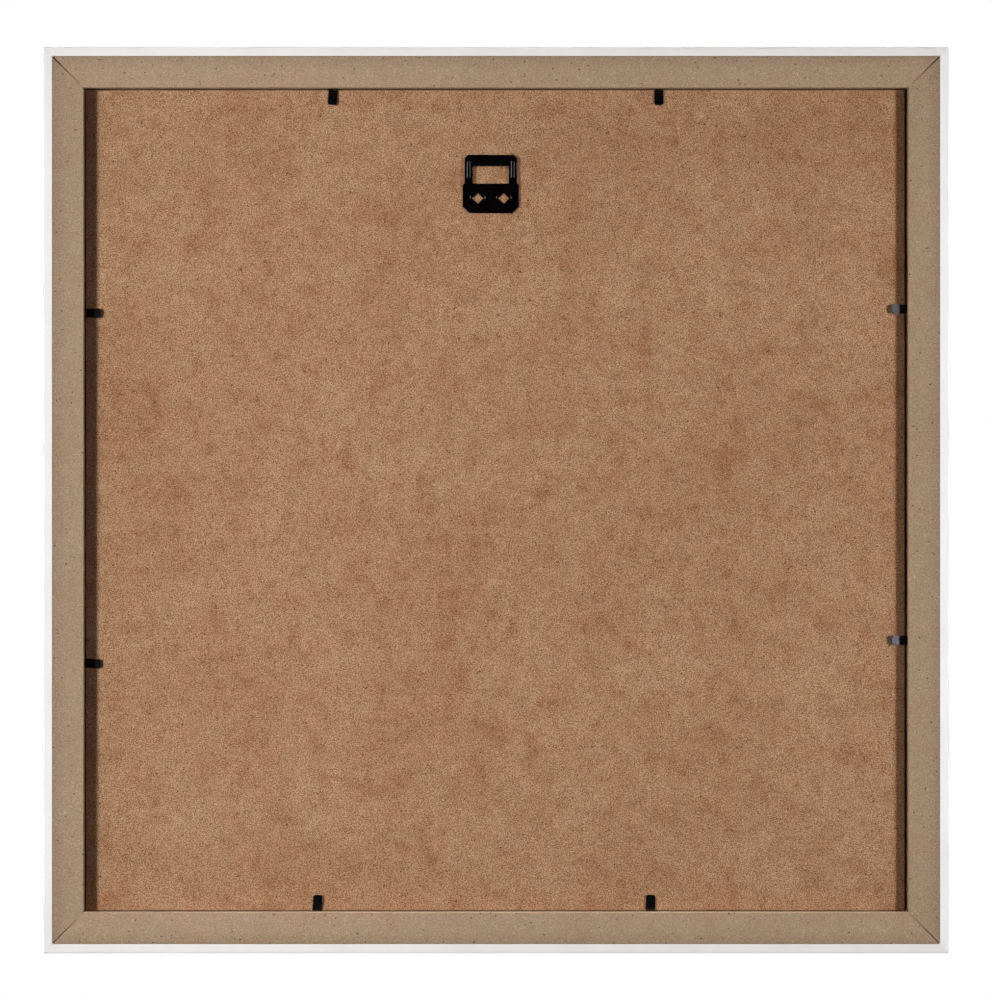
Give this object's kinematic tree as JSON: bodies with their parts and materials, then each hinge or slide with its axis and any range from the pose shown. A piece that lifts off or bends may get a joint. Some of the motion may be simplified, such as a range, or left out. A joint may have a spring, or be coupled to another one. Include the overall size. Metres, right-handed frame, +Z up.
{
  "type": "picture frame",
  "caption": "Square wall picture frame: white foil-wrapped mitred moulding, hardboard back held by flexible steel tabs, and a stamped hanger with a toothed window.",
  "frame": {"origin": "centre of the whole frame's bounding box", "axes": "+Z up as it hangs, +X to the right as seen from the back, +Y out of the glazed front; the back with its hanger faces -Y"},
  "size_m": [0.5522, 0.018, 0.5522],
  "materials": {
    "mdf": "raw fibreboard, matte",
    "foil": "satin white foil",
    "hardboard": "raw hardboard, matte, fibrous",
    "glazing": "clear, polished",
    "sheet": "uncoated, plain",
    "black_steel": "black lacquer, semi-gloss",
    "zinc_steel": "zinc plated"
  },
  "bodies": {
    "frame": {"rail_top": "mdf", "rail_right": "mdf", "rail_bottom": "mdf", "rail_left": "mdf", "wrap_top": "foil", "wrap_right": "foil", "wrap_bottom": "foil", "wrap_left": "foil", "glazing": "glazing", "insert_sheet": "sheet", "backing_board": "hardboard", "hanger_plate": "black_steel", "tab_roots": "black_steel", "v_nails": "zinc_steel"},
    "tab_top_left": {"tab_top_left": "black_steel"},
    "tab_top_right": {"tab_top_right": "black_steel"},
    "tab_right_upper": {"tab_right_upper": "black_steel"},
    "tab_right_lower": {"tab_right_lower": "black_steel"},
    "tab_bottom_left": {"tab_bottom_left": "black_steel"},
    "tab_bottom_right": {"tab_bottom_right": "black_steel"},
    "tab_left_upper": {"tab_left_upper": "black_steel"},
    "tab_left_lower": {"tab_left_lower": "black_steel"}
  },
  "joints": [
    {"name": "tab_top_left_bend", "type": "hinge", "parent": "frame", "child": "tab_top_left", "pos_m": [-0.0995, -0.00245, 0.25025], "axis": [-0.9981, 0, 0.061], "range_deg": [-3, 87]},
    {"name": "tab_top_right_bend", "type": "hinge", "parent": "frame", "child": "tab_top_right", "pos_m": [0.0995, -0.00245, 0.25025], "axis": [-1, 0, 0], "range_deg": [-3, 87]},
    {"name": "tab_right_upper_bend", "type": "hinge", "parent": "frame", "child": "tab_right_upper", "pos_m": [0.25025, -0.00245, 0.1165], "axis": [0, 0, 1], "range_deg": [-13, 77]},
    {"name": "tab_right_lower_bend", "type": "hinge", "parent": "frame", "child": "tab_right_lower", "pos_m": [0.25025, -0.00245, -0.08575], "axis": [0, 0, 1], "range_deg": [-14, 76]},
    {"name": "tab_bottom_left_bend", "type": "hinge", "parent": "frame", "child": "tab_bottom_left", "pos_m": [-0.10925, -0.00245, -0.25025], "axis": [0.9986, 0, -0.0523], "range_deg": [-4, 86]},
    {"name": "tab_bottom_right_bend", "type": "hinge", "parent": "frame", "child": "tab_bottom_right", "pos_m": [0.0945, -0.00245, -0.25025], "axis": [1, 0, 0], "range_deg": [-4, 86]},
    {"name": "tab_left_upper_bend", "type": "hinge", "parent": "frame", "child": "tab_left_upper", "pos_m": [-0.25025, -0.00245, 0.11425], "axis": [-0.0349, 0, -0.9994], "range_deg": [-5, 85]},
    {"name": "tab_left_lower_bend", "type": "hinge", "parent": "frame", "child": "tab_left_lower", "pos_m": [-0.25025, -0.00245, -0.09975], "axis": [-0.0523, 0, -0.9986], "range_deg": [-4, 86]}
  ]
}
